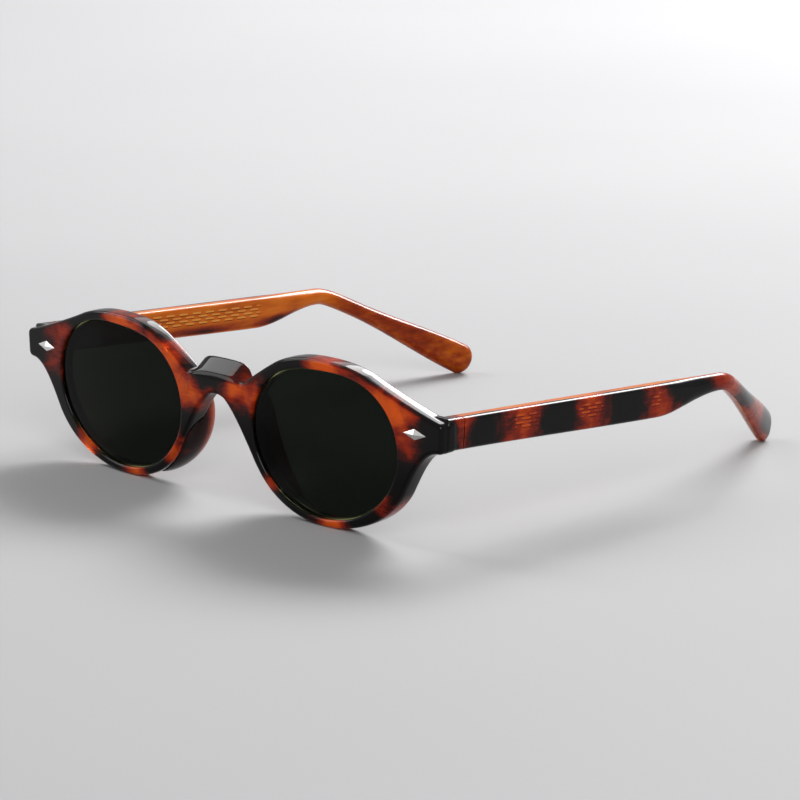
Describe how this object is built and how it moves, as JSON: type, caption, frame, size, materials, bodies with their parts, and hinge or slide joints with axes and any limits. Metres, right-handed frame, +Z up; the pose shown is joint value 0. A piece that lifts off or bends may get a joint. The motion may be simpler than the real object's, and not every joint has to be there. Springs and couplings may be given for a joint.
{
  "type": "sunglasses",
  "caption": "Small oval tortoiseshell acetate sunglasses with dark lenses, open and standing on a table, with temples that fold on five-knuckle hinges.",
  "frame": {"origin": "on the table under the middle of the open sunglasses' bounding box", "axes": "+Z up; -Y is the way the front looks, so the temples run back along +Y; +X is the wearer's left"},
  "size_m": [0.138, 0.1385, 0.0386],
  "materials": {
    "tortoise_acetate": "polished, mottled amber and near black",
    "honey_acetate": "polished, translucent honey",
    "amber_acetate": "polished, translucent amber",
    "smoke_lens": "dark green-grey tint",
    "polished_metal": "polished",
    "hinge_steel": "satin"
  },
  "bodies": {
    "front": {"front_frame": "tortoise_acetate", "left_lens": "smoke_lens", "right_lens": "smoke_lens", "left_nose_pad": "amber_acetate", "right_nose_pad": "amber_acetate", "left_front_rivet": "polished_metal", "right_front_rivet": "polished_metal", "left_front_hinge": "hinge_steel", "right_front_hinge": "hinge_steel", "left_hinge_screw": "hinge_steel", "right_hinge_screw": "hinge_steel"},
    "left_temple": {"left_temple_hinge": "hinge_steel", "left_temple_outer": "tortoise_acetate", "left_temple_inner": "honey_acetate", "left_wire_core": "hinge_steel"},
    "right_temple": {"right_temple_hinge": "hinge_steel", "right_temple_outer": "tortoise_acetate", "right_temple_inner": "honey_acetate", "right_wire_core": "hinge_steel"}
  },
  "joints": [
    {"name": "left_temple_fold", "type": "hinge", "parent": "front", "child": "left_temple", "pos_m": [0.0632, -0.05908, 0.02593], "axis": [0, 0.0489, 0.9988], "range_deg": [0, 84]},
    {"name": "right_temple_fold", "type": "hinge", "parent": "front", "child": "right_temple", "pos_m": [-0.0632, -0.05908, 0.02593], "axis": [0, -0.0489, -0.9988], "range_deg": [0, 68]}
  ]
}
